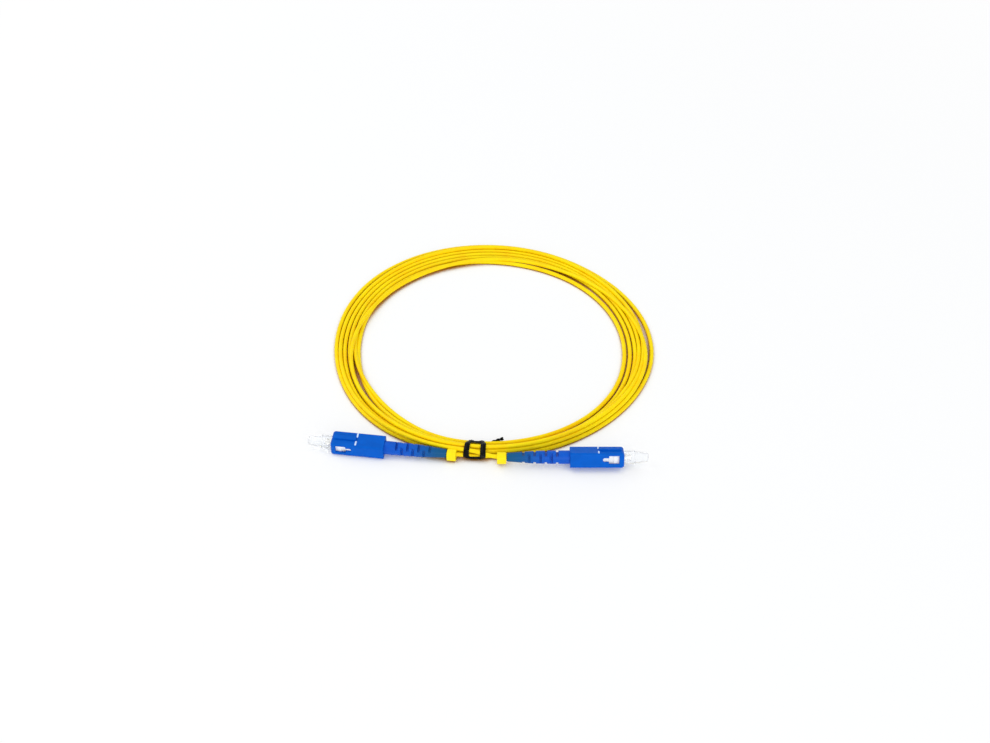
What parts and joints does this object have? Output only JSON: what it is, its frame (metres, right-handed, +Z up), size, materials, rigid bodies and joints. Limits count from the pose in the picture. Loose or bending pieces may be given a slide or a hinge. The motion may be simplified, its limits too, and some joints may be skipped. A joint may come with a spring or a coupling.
{
  "type": "fiber optic patch cord",
  "caption": "Single-fibre patch cord: wound yellow cord with a square push-pull connector, boot, marker ring and dust cap at each end, held by a wire tie.",
  "frame": {"origin": "on the floor, under the middle of the box round both connectors and their caps", "axes": "+X along the connectors towards the right-hand plug, +Y from them towards the wound ring, +Z up"},
  "size_m": [0.1646, 0.1577, 0.0102],
  "materials": {
    "blue_plastic": "moulded plastic, satin gloss",
    "white_plastic": "moulded plastic",
    "ceramic": "polished zirconia ceramic",
    "nickel_metal": "nickel plated brass, turned",
    "spring_steel": "drawn stainless spring wire",
    "aramid_yarn": "aramid strength yarn",
    "crimp_metal": "nickel plated copper alloy",
    "boot_rubber": "moulded elastomer, matte",
    "clear_plastic": "clear soft plastic",
    "buffer_plastic": "tight buffer",
    "glass_fibre": "silica fibre",
    "yellow_jacket": "extruded jacket, satin",
    "marker_plastic": "moulded ring",
    "tie_plastic": "plastic-covered wire strip"
  },
  "bodies": {
    "cord_body": {"plug_frame_a": "white_plastic", "spring_a": "spring_steel", "rear_body_a": "nickel_metal", "yarn_a": "aramid_yarn", "crimp_sleeve_a": "crimp_metal", "boot_a": "boot_rubber", "jacket_end_a": "yellow_jacket", "cord_lead_a": "yellow_jacket", "plug_frame_b": "white_plastic", "spring_b": "spring_steel", "rear_body_b": "nickel_metal", "yarn_b": "aramid_yarn", "crimp_sleeve_b": "crimp_metal", "boot_b": "boot_rubber", "jacket_end_b": "yellow_jacket", "cord_lead_b": "yellow_jacket", "cord_coil": "yellow_jacket", "twist_tie": "tie_plastic"},
    "grip_a": {"outer_housing_a": "blue_plastic"},
    "ferrule_a": {"ferrule_a": "ceramic", "ferrule_flange_a": "nickel_metal", "buffer_fibre_a": "buffer_plastic", "bare_fibre_a": "glass_fibre"},
    "cap_a": {"dust_cap_a": "clear_plastic"},
    "marker_a": {"marker_a": "marker_plastic"},
    "grip_b": {"outer_housing_b": "blue_plastic"},
    "ferrule_b": {"ferrule_b": "ceramic", "ferrule_flange_b": "nickel_metal", "buffer_fibre_b": "buffer_plastic", "bare_fibre_b": "glass_fibre"},
    "cap_b": {"dust_cap_b": "clear_plastic"},
    "marker_b": {"marker_b": "marker_plastic"}
  },
  "joints": [
    {"name": "grip_slide_a", "type": "slide", "parent": "cord_body", "child": "grip_a", "axis": [0.9914, -0.1305, 0], "range_m": [0, 0.0018]},
    {"name": "ferrule_slide_a", "type": "slide", "parent": "cord_body", "child": "ferrule_a", "axis": [0.9914, -0.1305, 0], "range_m": [0, 0.0012], "stiffness_N_per_m": 2000, "springref_m": -0.0044, "deforming": ["spring_a"]},
    {"name": "cap_slide_a", "type": "slide", "parent": "cord_body", "child": "cap_a", "axis": [-0.9914, 0.1305, 0], "range_m": [0, 0.016]},
    {"name": "marker_spin_a", "type": "hinge", "parent": "cord_body", "child": "marker_a", "pos_m": [-0.01213, -0.00188, 0.00305], "axis": [0.9914, -0.1305, 0], "continuous": true},
    {"name": "grip_slide_b", "type": "slide", "parent": "cord_body", "child": "grip_b", "axis": [-1, 0, 0], "range_m": [0, 0.0018]},
    {"name": "ferrule_slide_b", "type": "slide", "parent": "cord_body", "child": "ferrule_b", "axis": [-1, 0, 0], "range_m": [0, 0.0012], "stiffness_N_per_m": 2000, "springref_m": -0.0044, "deforming": ["spring_b"]},
    {"name": "cap_slide_b", "type": "slide", "parent": "cord_body", "child": "cap_b", "axis": [1, 0, 0], "range_m": [0, 0.016]},
    {"name": "marker_spin_b", "type": "hinge", "parent": "cord_body", "child": "marker_b", "pos_m": [0.01105, -0.0052, 0.00456], "axis": [-1, 0, 0], "continuous": true}
  ]
}
